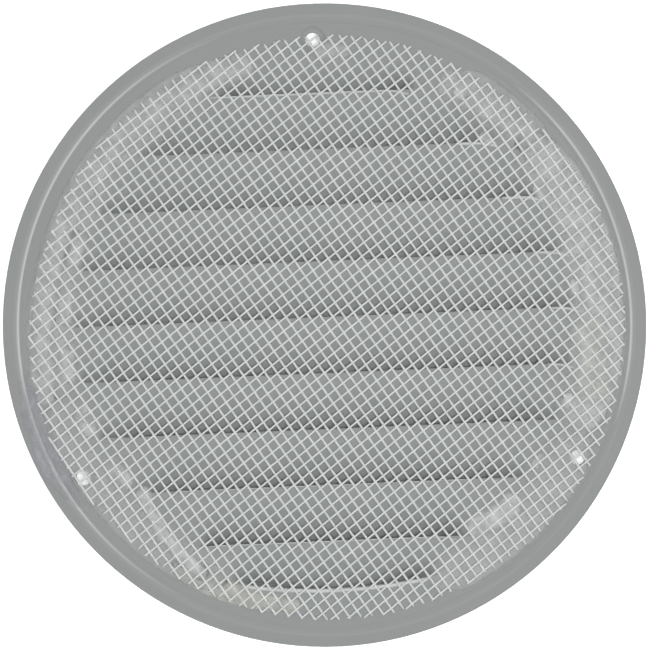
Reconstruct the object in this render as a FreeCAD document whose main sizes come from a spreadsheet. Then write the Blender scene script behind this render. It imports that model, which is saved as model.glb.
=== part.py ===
"""Round louvre vent cover: one pressed metal sheet with an insect mesh glued into the recess of its back.

Millimetres. The cover lies face down, as it does when the mesh is put in: X runs along the louvres, Y points up
the wall and Z points out of the back, towards the wall. The origin is the centre of the screw circle, on the back
face of the recessed disc.
"""
import FreeCAD, Part
import math
import os
import Sketcher

Vector = FreeCAD.Vector

# Driving dimensions, one spreadsheet cell each
DIMENSIONS = {
    # pressed sheet: a recessed disc inside a ring that meets the wall
    "outer_diameter": 165.0,
    "sheet_thickness": 0.8,
    "ring_flat": 2.6,
    "step_run": 2.4,
    "step_height": 1.2,
    "step_bend": 0.5,
    "step_bend_flats": 1,
    # louvres, measured on the back face
    "louvre_pitch": 14.4,
    "louvre_depth": 6.1,
    "louvre_height": 11.3,
    "louvre_bend_share": 0.94,
    "louvre_bend_lead": 0.6,
    "louvre_bend_flats": 2,
    "louvre_land": 2.4,
    "top_slit_inset": 17.8,
    "louvre_end_inset": 11.1,
    "lowest_row_extra": 3.2,
    # the top louvre is squeezed in below the top screw hole, so it is shorter and steeper
    "top_louvre_height": 6.8,
    "top_louvre_bend_lead": 0.35,
    # the bottom louvre follows the edge of the disc
    "bottom_slit_inset": 9.8,
    "bottom_slit_half": 29.0,
    "bottom_slit_radius": 140.0,
    "bottom_louvre_height": 9.2,
    # screw holes, each in a shallow dimple
    "hole_inset": 4.0,
    "hole_diameter": 3.8,
    "hole_count": 3,
    "dimple_diameter": 7.2,
    "dimple_floor": 5.4,
    "dimple_depth": 0.7,
    # insect mesh, drawn with every fifth thread as a ridge on a band five threads wide
    "mesh_margin": 2.1,
    "mesh_shift_right": 0.5,
    "mesh_shift_down": 0.6,
    "mesh_film": 0.1,
    "mesh_wall": 0.3,
    "thread_pitch": 2.49,
    "thread_width": 0.55,
    "thread_rise": 0.15,
    "threads_per_band": 5,
    "warp_angle": 36.1,
    "weft_angle": 121.8,
    # hot-melt glue
    "bead_width": 4.6,
    "bead_height": 0.45,
    "blob_width": 9.0,
    "blob_height": 0.45,
    "streak_width": 3.4,
    "streak_height": 0.4,
    "dab_width": 4.2,
    "dab_height": 0.4,
    "smear_thickness": 0.4,
    "smear_width": 1.2,
    "smear_margin": 0.2,
    "smear_start_angle": 189.0,
    "smear_sweep_angle": 25.0,
}

# The radius of each slat's bend on its back, worked out from the cells above. The largest that fits has the front of
# the bend end on the slat's free edge; a slat takes a share of it, so that it curves nearly all the way
SLAT_BEND = ("=louvre_bend_share * (({0} - {1}) ^ 2 + louvre_depth ^ 2 - sheet_thickness ^ 2)"
             " / (2 * (louvre_depth - sheet_thickness))")
BENDS = {
    "row_bend": SLAT_BEND.format("louvre_height", "louvre_bend_lead"),
    "top_bend": SLAT_BEND.format("top_louvre_height", "top_louvre_bend_lead"),
    "bottom_bend": SLAT_BEND.format("bottom_louvre_height", "louvre_bend_lead"),
}

# Where the glue was squeezed out: the angle round the cover and the distance in from the edge of the recess
GLUE_BEAD_LEFT = ((105.7, 7.7), (139.6, 6.6), (190.9, 3.6))
GLUE_BEAD_RIGHT = ((59.0, 7.5), (31.8, 6.3), (3.2, 6.9))
GLUE_BLOB_RIGHT = ((-4.6, 8.9), (-9.8, 7.3), (-15.1, 6.5))
GLUE_BLOB_LOWER_RIGHT = ((-55.2, 12.7), (-50.9, 11.2), (-46.2, 11.0))
GLUE_STREAK_LOWER_LEFT = ((220.7, 13.9), (230.4, 9.7), (240.9, 6.6))
GLUE_BLOB_BOTTOM = ((248.0, 5.4), (254.4, 4.8), (260.9, 5.0))
GLUE_DABS = {
    "glue_dab_top_hole": (86.3, 6.9),
    "glue_dab_louvre_4": (160.4, 10.8),
    "glue_dab_louvre_5": (173.7, 10.6),
    "glue_dab_louvre_6": (186.4, 10.7),
    "glue_dab_louvre_7": (199.5, 11.4),
    "glue_dab_louvre_8": (213.7, 12.0),
}

# How finely the edge of a bank of glue is drawn, and how much longer than wide a dab is
GLUE_RUN_POINTS = 6
GLUE_END_CORNERS = 3
DAB_STRETCH = 0.12

document = FreeCAD.newDocument("round_vent_cover")
sheet = document.addObject("Spreadsheet::Sheet", "Dimensions")
for row, (alias, content) in enumerate({**DIMENSIONS, **BENDS}.items(), start=1):
    sheet.set(f"A{row}", alias)
    sheet.set(f"B{row}", str(content))
    sheet.setAlias(f"B{row}", alias)
document.recompute()


def size(alias):
    """The number in a cell of the spreadsheet."""
    return float(sheet.get(alias))


def cell(alias):
    """The name of a cell, as an expression writes it."""
    return f"Dimensions.{alias}"


# Places that several pieces share, as expressions and as numbers
RECESS_RADIUS = f"({cell('outer_diameter')} / 2 - {cell('ring_flat')} - {cell('step_run')})"
recess_radius = size("outer_diameter") / 2 - size("ring_flat") - size("step_run")
mesh_top = size("mesh_film") + size("mesh_wall") + 2 * size("thread_rise")

# A sketch turned so that its X is the cover's Y and its Y is the cover's Z, and one that shows X and Z
ACROSS_LOUVRES = FreeCAD.Rotation(0.5, 0.5, 0.5, 0.5)
THROUGH_AXIS = FreeCAD.Rotation(Vector(1, 0, 0), 90)


def new_object(kind, name):
    return document.addObject(kind, name)


def bind(thing, **expressions):
    """Ties properties of an object to expressions; a double underscore stands for a dot."""
    for name, expression in expressions.items():
        thing.setExpression(name.replace("__", "."), expression)


def place(thing, x="0", y="0", z="0"):
    """Ties an object's place to three expressions."""
    for axis, expression in zip("xyz", (x, y, z)):
        thing.setExpression(f".Placement.Base.{axis}", expression)


def add_dimension(sketch, name, constraint, expression):
    index = sketch.addConstraint(constraint)
    sketch.renameConstraint(index, name)
    sketch.setExpression(f"Constraints.{name}", expression)


def arc_about(centre, radius, start, end):
    return Part.ArcOfCircle(Part.Circle(centre, Vector(0, 0, 1), radius), start, end)


def fold_along(sketch, arc, count_alias):
    """Sets equal flats that meet on a bend's arc in its place, and keeps the arc for construction."""
    curve = sketch.Geometry[arc]
    count = round(size(count_alias))
    step = (curve.LastParameter - curve.FirstParameter) / count
    spots = [curve.value(curve.FirstParameter + step * k) for k in range(count + 1)]
    flats = sketch.addGeometry([Part.LineSegment(*ends) for ends in zip(spots, spots[1:])])
    sketch.toggleConstruction(arc)
    sketch.addConstraint(Sketcher.Constraint("Coincident", flats[0], 1, arc, 1))
    sketch.addConstraint(Sketcher.Constraint("Coincident", flats[-1], 2, arc, 2))
    for one, other in zip(flats, flats[1:]):
        sketch.addConstraint(Sketcher.Constraint("Coincident", one, 2, other, 1))
        sketch.addConstraint(Sketcher.Constraint("PointOnObject", other, 1, arc))
        sketch.addConstraint(Sketcher.Constraint("Equal", one, other))


def fuse_all(name, members):
    fused = new_object("Part::MultiFuse", name)
    fused.Shapes = members
    fused.Refine = False
    return fused


def cut_away(name, base, tool):
    cut = new_object("Part::Cut", name)
    cut.Base = base
    cut.Tool = tool
    cut.Refine = False
    return cut


def pressed_disc():
    """The sheet before its louvres: a disc, a joggle of two bends and the ring, turned about the axis."""
    outer = size("outer_diameter") / 2
    thick = size("sheet_thickness")
    bend = size("step_bend")
    rise = size("step_height")
    run = size("step_run")
    ring_start = outer - size("ring_flat")
    # slope of the joggle: the common tangent of the two bends
    drop = rise - 2 * bend - thick
    slope = math.asin((2 * bend + thick) / math.hypot(run, drop)) + math.atan2(drop, run)
    foot = Vector(recess_radius, bend, 0)
    crown = Vector(ring_start, rise - bend - thick, 0)
    down = -math.pi / 2
    up = math.pi / 2

    def on(centre, radius, angle):
        return centre + Vector(math.cos(angle), math.sin(angle), 0) * radius

    foot_back = on(foot, bend, down + slope)
    crown_back = on(crown, bend + thick, up + slope)
    foot_front = on(foot, bend + thick, down + slope)
    crown_front = on(crown, bend, up + slope)
    sketch = new_object("Sketcher::SketchObject", "disc_section")
    sketch.Placement = FreeCAD.Placement(Vector(0, 0, 0), THROUGH_AXIS)
    back, foot_arc, slope_back, crown_arc, ring_back, rim = range(6)
    ring_front, crown_inner, slope_front, foot_outer, front, axis = range(6, 12)
    sketch.addGeometry([
        Part.LineSegment(Vector(0, 0, 0), Vector(recess_radius, 0, 0)),
        arc_about(foot, bend, down, down + slope),
        Part.LineSegment(foot_back, crown_back),
        arc_about(crown, bend + thick, up, up + slope),
        Part.LineSegment(Vector(ring_start, rise, 0), Vector(outer, rise, 0)),
        Part.LineSegment(Vector(outer, rise, 0), Vector(outer, rise - thick, 0)),
        Part.LineSegment(Vector(outer, rise - thick, 0), Vector(ring_start, rise - thick, 0)),
        arc_about(crown, bend, up, up + slope),
        Part.LineSegment(crown_front, foot_front),
        arc_about(foot, bend + thick, down, down + slope),
        Part.LineSegment(Vector(recess_radius, -thick, 0), Vector(0, -thick, 0)),
        Part.LineSegment(Vector(0, -thick, 0), Vector(0, 0, 0)),
    ])
    tangents = [(back, 2, foot_arc, 1), (foot_arc, 2, slope_back, 1), (slope_back, 2, crown_arc, 2),
                (crown_arc, 1, ring_back, 1), (ring_front, 2, crown_inner, 1), (crown_inner, 2, slope_front, 1),
                (slope_front, 2, foot_outer, 2), (foot_outer, 1, front, 1)]
    for ends in tangents:
        sketch.addConstraint(Sketcher.Constraint("Tangent", *ends))
    corners = [(ring_back, 2, rim, 1), (rim, 2, ring_front, 1), (front, 2, axis, 1), (axis, 2, back, 1),
               (foot_arc, 3, foot_outer, 3), (crown_arc, 3, crown_inner, 3), (back, 1, -1, 1)]
    for ends in corners:
        sketch.addConstraint(Sketcher.Constraint("Coincident", *ends))
    for line in (back, ring_back, ring_front, front):
        sketch.addConstraint(Sketcher.Constraint("Horizontal", line))
    for line in (rim, axis):
        sketch.addConstraint(Sketcher.Constraint("Vertical", line))
    add_dimension(sketch, "outer_radius", Sketcher.Constraint("DistanceX", -1, 1, rim, 1, outer),
                  f"{cell('outer_diameter')} / 2")
    add_dimension(sketch, "ring_flat", Sketcher.Constraint("DistanceX", ring_back, 1, ring_back, 2,
                                                           size("ring_flat")), cell("ring_flat"))
    add_dimension(sketch, "recess_radius", Sketcher.Constraint("DistanceX", back, 1, back, 2, recess_radius),
                  RECESS_RADIUS)
    add_dimension(sketch, "step_height", Sketcher.Constraint("DistanceY", -1, 1, rim, 1, rise),
                  cell("step_height"))
    add_dimension(sketch, "rim_thickness", Sketcher.Constraint("DistanceY", rim, 2, rim, 1, thick),
                  cell("sheet_thickness"))
    add_dimension(sketch, "disc_thickness", Sketcher.Constraint("DistanceY", axis, 1, axis, 2, thick),
                  cell("sheet_thickness"))
    add_dimension(sketch, "foot_bend", Sketcher.Constraint("Radius", foot_arc, bend), cell("step_bend"))
    add_dimension(sketch, "crown_bend", Sketcher.Constraint("Radius", crown_inner, bend), cell("step_bend"))
    for arc in (foot_arc, crown_arc, crown_inner, foot_outer):
        fold_along(sketch, arc, "step_bend_flats")
    disc = new_object("Part::Revolution", "disc")
    disc.Source = sketch
    disc.Axis = Vector(0, 0, 1)
    disc.Solid = True
    return disc


def slat_sketches(name, height_alias, bend_alias, lead_alias):
    """Sections of a louvre across its length, with the slit at the sketch's origin.

    The slat leaves the disc at the louvre's height, curves away from the back and ends in a short straight lip
    at the slit. The skin section is filled down to the front of the slat, and the hollow section is what the slat
    leaves open behind it. Taken together they leave a slat of the sheet's thickness.
    """
    height = size(height_alias)
    bend = size(bend_alias)
    lead = size(lead_alias)
    thick = size("sheet_thickness")
    depth = size("louvre_depth")
    inner = bend - thick
    centre = Vector(height - lead, -math.sqrt(bend ** 2 - lead ** 2), 0)
    CENTRE_BELOW = f"sqrt({cell(bend_alias)} ^ 2 - {cell(lead_alias)} ^ 2)"
    tip = Vector(0, -depth, 0)
    reach = centre - tip
    slope = math.atan2(reach.y, reach.x) + math.asin(inner / reach.Length)
    across = Vector(-math.sin(slope), math.cos(slope), 0)
    along = Vector(math.cos(slope), math.sin(slope), 0)
    front_touch = centre + across * inner
    back_touch = centre + across * bend
    back_tip = back_touch - along * (back_touch.x / along.x)
    turn_end = math.pi / 2 + slope
    front_start = math.asin((-thick - centre.y) / inner)
    front_top = Vector(centre.x + inner * math.cos(front_start), -thick, 0)
    inside = -thick / 2
    back_start = math.asin(-centre.y / bend)
    above = thick

    skin = new_object("Sketcher::SketchObject", f"{name}_skin_section")
    hollow = new_object("Sketcher::SketchObject", f"{name}_hollow_section")
    bend_arc, face, slit, top, side, twin_arc, twin_face = range(7)
    skin.addGeometry([
        arc_about(centre, inner, front_start, turn_end),
        Part.LineSegment(front_touch, tip),
        Part.LineSegment(tip, Vector(0, inside, 0)),
        Part.LineSegment(Vector(0, inside, 0), Vector(front_top.x, inside, 0)),
        Part.LineSegment(Vector(front_top.x, inside, 0), front_top),
    ])
    hollow.addGeometry([
        arc_about(centre, bend, back_start, turn_end),
        Part.LineSegment(back_touch, back_tip),
        Part.LineSegment(back_tip, Vector(0, above, 0)),
        Part.LineSegment(Vector(0, above, 0), Vector(height, above, 0)),
        Part.LineSegment(Vector(height, above, 0), Vector(height, 0, 0)),
    ])
    # the front of the slat, drawn again for construction
    hollow.addGeometry([arc_about(centre, inner, front_start, turn_end), Part.LineSegment(front_touch, tip)], True)
    for sketch in (skin, hollow):
        sketch.Placement = FreeCAD.Placement(Vector(0, 0, 0), ACROSS_LOUVRES)
        sketch.addConstraint(Sketcher.Constraint("Tangent", bend_arc, 2, face, 1))
        for ends in ((face, 2, slit, 1), (slit, 2, top, 1), (top, 2, side, 1), (side, 2, bend_arc, 1)):
            sketch.addConstraint(Sketcher.Constraint("Coincident", *ends))
        sketch.addConstraint(Sketcher.Constraint("PointOnObject", slit, 1, -2))
        sketch.addConstraint(Sketcher.Constraint("Vertical", slit))
        sketch.addConstraint(Sketcher.Constraint("Horizontal", top))
        sketch.addConstraint(Sketcher.Constraint("Vertical", side))
        add_dimension(sketch, "bend_across", Sketcher.Constraint("DistanceX", -1, 1, bend_arc, 3, centre.x),
                      f"{cell(height_alias)} - {cell(lead_alias)}")
        add_dimension(sketch, "bend_below", Sketcher.Constraint("DistanceY", bend_arc, 3, -1, 1, -centre.y),
                      CENTRE_BELOW)
    add_dimension(skin, "front_bend", Sketcher.Constraint("Radius", bend_arc, inner),
                  f"{cell(bend_alias)} - {cell('sheet_thickness')}")
    add_dimension(skin, "louvre_depth", Sketcher.Constraint("DistanceY", face, 2, -1, 1, depth),
                  cell("louvre_depth"))
    add_dimension(skin, "disc_front", Sketcher.Constraint("DistanceY", bend_arc, 1, -1, 1, thick),
                  cell("sheet_thickness"))
    add_dimension(skin, "inside_disc", Sketcher.Constraint("DistanceY", top, 1, -1, 1, -inside),
                  f"{cell('sheet_thickness')} / 2")
    hollow.addConstraint(Sketcher.Constraint("Coincident", twin_arc, 3, bend_arc, 3))
    hollow.addConstraint(Sketcher.Constraint("Tangent", twin_arc, 2, twin_face, 1))
    hollow.addConstraint(Sketcher.Constraint("PointOnObject", twin_face, 2, -2))
    hollow.addConstraint(Sketcher.Constraint("Parallel", face, twin_face))
    hollow.addConstraint(Sketcher.Constraint("PointOnObject", bend_arc, 1, -1))
    add_dimension(hollow, "back_bend", Sketcher.Constraint("Radius", bend_arc, bend), cell(bend_alias))
    add_dimension(hollow, "front_bend", Sketcher.Constraint("Radius", twin_arc, inner),
                  f"{cell(bend_alias)} - {cell('sheet_thickness')}")
    add_dimension(hollow, "louvre_depth", Sketcher.Constraint("DistanceY", twin_face, 2, -1, 1, depth),
                  cell("louvre_depth"))
    add_dimension(hollow, "above_disc", Sketcher.Constraint("DistanceY", -1, 1, top, 1, above),
                  cell("sheet_thickness"))
    for sketch in (skin, hollow):
        fold_along(sketch, bend_arc, "louvre_bend_flats")
    return skin, hollow


def louvre_end(name, section, side):
    """One rounded end of a louvre: a quarter turn of its section."""
    end = new_object("Part::Revolution", name)
    end.Source = section
    end.Axis = Vector(0, 0, 1)
    end.Angle = -90 * side
    end.Solid = True
    return end


def straight_louvre(name, sections, height_alias, slit, half):
    """The skin and the hollow of a straight louvre, from the place of its slit and half the slit's length."""
    forms = []
    for part, section in zip(("skin", "hollow"), sections):
        middle = new_object("Part::Extrusion", f"{name}_{part}_middle")
        middle.Base = section
        middle.DirMode = "Custom"
        middle.Dir = Vector(1, 0, 0)
        middle.Solid = True
        run = f"{half} - {cell(height_alias)}"
        bind(middle, LengthFwd=run, LengthRev=run)
        place(middle, y=slit)
        pieces = [middle]
        for side, word in ((1, "right"), (-1, "left")):
            end = louvre_end(f"{name}_{part}_{word}", section, side)
            place(end, x=f"{side} * ({run})", y=slit)
            pieces.append(end)
        forms.append(fuse_all(f"{name}_{part}", pieces))
    return forms


def curved_louvre(name, sections, height_alias, slit):
    """The skin and the hollow of the bottom louvre, whose slit is an arc with its ends higher than its middle."""
    forms = []
    radius = cell("bottom_slit_radius")
    half_turn = f"asin(({cell('bottom_slit_half')} - {cell(height_alias)}) / {radius})"
    for part, section in zip(("skin", "hollow"), sections):
        middle = new_object("Part::Revolution", f"{name}_{part}_middle")
        middle.Source = section
        middle.Axis = Vector(0, 0, 1)
        middle.Solid = True
        middle.Symmetric = True
        bind(middle, Base__y=radius, Angle=f"2 * {half_turn}")
        place(middle, y=slit)
        pieces = [middle]
        for side, word in ((1, "right"), (-1, "left")):
            end = louvre_end(f"{name}_{part}_{word}", section, side)
            end.Placement = FreeCAD.Placement(Vector(0, 0, 0), FreeCAD.Rotation(Vector(0, 0, 1), 1))
            bind(end, **{".Placement.Rotation.Angle": f"{side} * {half_turn}"})
            place(end, x=f"{side} * {radius} * sin({half_turn})",
                  y=f"{slit} + {radius} * (1 - cos({half_turn}))")
            pieces.append(end)
        forms.append(fuse_all(f"{name}_{part}", pieces))
    return forms


def louvres():
    """Skins to add to the disc and hollows to cut from it, for all the louvres."""
    top_slit = recess_radius - size("top_slit_inset")
    bottom_slit = size("bottom_slit_inset") - recess_radius
    lowest_slit = bottom_slit + size("bottom_louvre_height") + size("louvre_land")
    last_row = int((top_slit - lowest_slit) / size("louvre_pitch"))
    row_sections = slat_sketches("row", "louvre_height", "row_bend", "louvre_bend_lead")
    top_sections = slat_sketches("top", "top_louvre_height", "top_bend", "top_louvre_bend_lead")
    bottom_sections = slat_sketches("bottom", "bottom_louvre_height", "bottom_bend", "louvre_bend_lead")
    skins, hollows = [], []
    for row in range(last_row + 1):
        slit = f"({RECESS_RADIUS} - {cell('top_slit_inset')} - {row} * {cell('louvre_pitch')})"
        half = f"sqrt(({RECESS_RADIUS} - {cell('louvre_end_inset')}) ^ 2 - {slit} ^ 2)"
        if row == last_row:
            half = f"({half} + {cell('lowest_row_extra')})"
        sections, height = (top_sections, "top_louvre_height") if row == 0 else (row_sections, "louvre_height")
        skin, hollow = straight_louvre(f"louvre_{row + 1}", sections, height, slit, half)
        skins.append(skin)
        hollows.append(hollow)
    slit = f"({cell('bottom_slit_inset')} - {RECESS_RADIUS})"
    skin, hollow = curved_louvre("bottom_louvre", bottom_sections, "bottom_louvre_height", slit)
    return skins + [skin], hollows + [hollow]


def screw_holes():
    """Bosses to add to the front, and dimples and holes to cut, at equal steps round the screw circle."""
    bosses, cuts = [], []
    circle = f"({RECESS_RADIUS} - {cell('hole_inset')})"
    slope_run = f"(({cell('dimple_diameter')} - {cell('dimple_floor')}) / 2)"
    spread = f"{cell('sheet_thickness')} * tan(atan({cell('dimple_depth')} / {slope_run}) / 2)"
    for number in range(round(size("hole_count"))):
        turn = f"(90 + {number} * 360 / {cell('hole_count')})"
        where = {"x": f"{circle} * cos({turn})", "y": f"{circle} * sin({turn})"}
        boss = new_object("Part::Cone", f"boss_{number + 1}")
        bind(boss, Radius1=f"{cell('dimple_floor')} / 2 + {spread}",
             Radius2=f"{cell('dimple_diameter')} / 2 + {spread}", Height=cell("dimple_depth"))
        place(boss, z=f"-{cell('sheet_thickness')} - {cell('dimple_depth')}", **where)
        dimple = new_object("Part::Cone", f"dimple_{number + 1}")
        bind(dimple, Radius1=f"{cell('dimple_floor')} / 2", Radius2=f"{cell('dimple_diameter')} / 2",
             Height=cell("dimple_depth"))
        place(dimple, z=f"-{cell('dimple_depth')}", **where)
        hole = new_object("Part::Cylinder", f"hole_{number + 1}")
        bind(hole, Radius=f"{cell('hole_diameter')} / 2", Height=f"3 * {cell('sheet_thickness')}")
        place(hole, z=f"-{cell('dimple_depth')} - 2 * {cell('sheet_thickness')}", **where)
        bosses.append(boss)
        cuts.append(fuse_all(f"screw_opening_{number + 1}", [dimple, hole]))
    return bosses, cuts


def louvre_plate():
    """The pressed sheet."""
    skins, hollows = louvres()
    bosses, cuts = screw_holes()
    filled = fuse_all("plate_filled", [pressed_disc()] + skins + bosses)
    # every other louvre is cut first, then the ones between them, then the screw openings
    plate = filled
    for number, group in enumerate((hollows[::2], hollows[1::2], cuts), start=1):
        openings = new_object("Part::Compound", f"openings_{number}")
        openings.Links = group
        plate = cut_away(f"plate_cut_{number}", plate, openings)
    plate.Label = "louvre_plate"
    return plate


def insect_mesh():
    """The mesh as one wall with gaps: warp threads are ridges on its back and weft threads on its front."""
    radius = recess_radius - size("mesh_margin")
    RADIUS = f"{RECESS_RADIUS} - {cell('mesh_margin')}"
    middle = {"x": cell("mesh_shift_right"), "y": f"-{cell('mesh_shift_down')}"}
    pitch = size("thread_pitch") * size("threads_per_band")
    band = size("thread_width") * size("threads_per_band")
    gap_radius = radius - band / 2
    wall_bottom = size("mesh_film") + size("thread_rise")
    WALL_BOTTOM = f"{cell('mesh_film')} + {cell('thread_rise')}"
    warp_turn = math.radians(size("warp_angle"))
    weft_turn = math.radians(size("weft_angle"))
    warp = Vector(math.cos(warp_turn), math.sin(warp_turn), 0)
    weft = Vector(math.cos(weft_turn), math.sin(weft_turn), 0)
    skew = math.sin(weft_turn - warp_turn)
    shift = Vector(size("mesh_shift_right"), -size("mesh_shift_down"), 0)

    wall = new_object("Part::Cylinder", "mesh_wall")
    bind(wall, Radius=RADIUS, Height=cell("mesh_wall"))
    place(wall, z=WALL_BOTTOM, **middle)
    trim = new_object("Part::Cylinder", "mesh_trim")
    bind(trim, Radius=RADIUS, Height=f"{cell('mesh_wall')} + 2 * {cell('thread_rise')}")
    place(trim, z=cell("mesh_film"), **middle)

    ridges = []
    lines = int(radius / pitch + 0.5)
    for word, angle, height in (("warp", "warp_angle", f"{WALL_BOTTOM} + {cell('mesh_wall')}"),
                                ("weft", "weft_angle", cell("mesh_film"))):
        for line in range(-lines, lines):
            ridge = new_object("Part::Box", f"{word}_{line + lines + 1}")
            offset = f"(({line} + 0.5) * {cell('thread_pitch')} * {cell('threads_per_band')}" \
                     f" - {cell('thread_width')} / 2)"
            turn = cell(angle)
            bind(ridge, Length=f"2 * ({RADIUS})", Width=cell("thread_width"), Height=cell("thread_rise"))
            ridge.Placement = FreeCAD.Placement(Vector(0, 0, 0), FreeCAD.Rotation(Vector(0, 0, 1), 1))
            bind(ridge, **{".Placement.Rotation.Angle": turn})
            place(ridge, x=f"{middle['x']} - ({RADIUS}) * cos({turn}) - {offset} * sin({turn})",
                  y=f"{middle['y']} - ({RADIUS}) * sin({turn}) + {offset} * cos({turn})", z=height)
            ridges.append(ridge)
    threads = new_object("Part::Common", "threads")
    threads.Base = fuse_all("long_threads", ridges)
    threads.Tool = trim

    # gaps between the bands, trimmed where they reach the edge of the mesh
    open_half = (pitch - band) / 2 / skew
    step = pitch / skew
    edge = Part.makeCylinder(gap_radius, size("mesh_wall"), shift + Vector(0, 0, wall_bottom))
    reach = int(radius / pitch) + 1
    gaps = []
    for across in range(-reach, reach + 1):
        for along in range(-reach, reach + 1):
            centre = shift + warp * (along * step) + weft * (across * step)
            if (centre - shift).Length > gap_radius:
                continue
            corners = [centre + warp * (open_half * i) + weft * (open_half * j)
                       for i, j in ((1, 1), (-1, 1), (-1, -1), (1, -1), (1, 1))]
            outline = Part.Face(Part.makePolygon(corners))
            outline.translate(Vector(0, 0, wall_bottom))
            gaps.append(outline.extrude(Vector(0, 0, size("mesh_wall"))).common(edge).Solids[0])
    print("gaps in the mesh", len(gaps))
    holes = new_object("Part::Feature", "mesh_gaps")
    holes.Shape = Part.makeCompound(gaps)
    return cut_away("insect_mesh", fuse_all("mesh_with_threads", [wall, threads]), holes)


def glue_outline(points, half, height):
    """The edge of a run of glue at one height: along both sides of its middle line and round its two ends."""
    turns = [math.pi * k / GLUE_END_CORNERS for k in range(1, GLUE_END_CORNERS)]
    right, left = [], []
    for number, point in enumerate(points):
        along = (points[min(number + 1, len(points) - 1)] - points[max(number - 1, 0)]).normalize()
        across = Vector(along.y, -along.x, 0)
        right.append(point + across * half)
        left.append(point - across * half)
        if number == 0:
            first = [point - (across * math.cos(turn) + along * math.sin(turn)) * half for turn in turns]
    last = [points[-1] + (across * math.cos(turn) + along * math.sin(turn)) * half for turn in turns]
    return [spot + Vector(0, 0, mesh_top + height) for spot in right + last + left[::-1] + first]


def glue_bank(points, width, height):
    """A low bank of glue with sloping sides along a middle line."""
    foot = glue_outline(points, width / 2, 0)
    crest = glue_outline(points, width / 2 - height, height)
    faces = [Part.Face(Part.makePolygon(outline + outline[:1])) for outline in (foot, crest)]
    for k in range(len(foot)):
        a, b, c, d = foot[k - 1], foot[k], crest[k], crest[k - 1]
        faces += [Part.Face(Part.makePolygon(corners)) for corners in ([a, b, c, a], [a, c, d, a])]
    bank = Part.makeSolid(Part.makeShell(faces))
    return bank if bank.Volume > 0 else bank.reversed()


def glue_spot(angle, inset):
    """A place on the back face, at an angle round the cover and a distance in from the edge of the recess."""
    turn = math.radians(angle)
    return Vector(math.cos(turn), math.sin(turn), 0) * (recess_radius - inset)


def glue_dab(spot, width, height):
    """A dab, a little longer than it is wide."""
    middle = glue_spot(*spot)
    stretch = Vector(width * DAB_STRETCH / 2, 0, 0)
    return glue_bank([middle - stretch, middle + stretch], width, height)


def glue_run(points, width, height):
    """A run along an arc through three points."""
    path = Part.Arc(*(glue_spot(*point) for point in points)).toShape()
    return glue_bank(path.discretize(GLUE_RUN_POINTS), width, height)


def set_glue():
    """Every run, blob and dab that was left to set, as pieces of their own on the mesh."""
    bead = size("bead_width"), size("bead_height")
    blob = size("blob_width"), size("blob_height")
    streak = size("streak_width"), size("streak_height")
    dab = size("dab_width"), size("dab_height")
    shapes = {
        "glue_bead_left": glue_run(GLUE_BEAD_LEFT, *bead),
        "glue_bead_right": glue_run(GLUE_BEAD_RIGHT, *bead),
        "glue_blob_right": glue_run(GLUE_BLOB_RIGHT, *blob),
        "glue_blob_lower_right": glue_run(GLUE_BLOB_LOWER_RIGHT, *bead),
        "glue_streak_lower_left": glue_run(GLUE_STREAK_LOWER_LEFT, *streak),
        "glue_blob_bottom": glue_run(GLUE_BLOB_BOTTOM, *streak),
    }
    shapes.update({name: glue_dab(spot, *dab) for name, spot in GLUE_DABS.items()})
    pieces = []
    for name, shape in shapes.items():
        piece = new_object("Part::Feature", name)
        piece.Shape = shape
        pieces.append(piece)
    return pieces


def glue_smear_left():
    """The thick edge of a smear of glue, in the corner of the recess between the mesh and the ring."""
    sectors = []
    outer = f"{RECESS_RADIUS} - {cell('smear_margin')}"
    for word, radius in (("outer", outer), ("inner", f"{outer} - {cell('smear_width')}")):
        sector = new_object("Part::Cylinder", f"smear_{word}")
        bind(sector, Radius=radius, Height=cell("smear_thickness"), Angle=cell("smear_sweep_angle"))
        sector.Placement = FreeCAD.Placement(Vector(0, 0, 0), FreeCAD.Rotation(Vector(0, 0, 1), 1))
        bind(sector, **{".Placement.Rotation.Angle": cell("smear_start_angle")})
        sectors.append(sector)
    return cut_away("glue_smear_left", *sectors)


def check_document(pieces):
    """Stops if an object failed or a piece isn't one sound solid."""
    for thing in document.Objects:
        if "Invalid" in thing.State or "Error" in thing.State:
            raise RuntimeError(f"{thing.Name} failed: {thing.State}")
    for piece in pieces:
        if piece.Shape.isNull() or not piece.Shape.isValid() or len(piece.Shape.Solids) != 1:
            raise RuntimeError(f"{piece.Label} isn't one sound solid")


def main():
    pieces = [louvre_plate(), insect_mesh(), *set_glue(), glue_smear_left()]
    document.recompute()
    check_document(pieces)
    os.makedirs("parts", exist_ok=True)
    for piece in pieces:
        box = piece.Shape.BoundBox
        print(piece.Label, round(piece.Shape.Volume, 1), "mm3", "z", round(box.ZMin, 3), round(box.ZMax, 3))
        piece.Shape.exportStep(f"parts/{piece.Label}.step")


main()
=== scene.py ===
"""Round louvre vent cover: satin metal, woven insect mesh and set hot-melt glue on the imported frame.

The cover lies face down and is seen straight from above, so the picture shows its back. Sizes are millimetres in
the frame's own axes, and become metres where geometry is made. Angles are degrees, round from +X.
"""
import math
import random

import bpy
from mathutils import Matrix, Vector, noise


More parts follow.
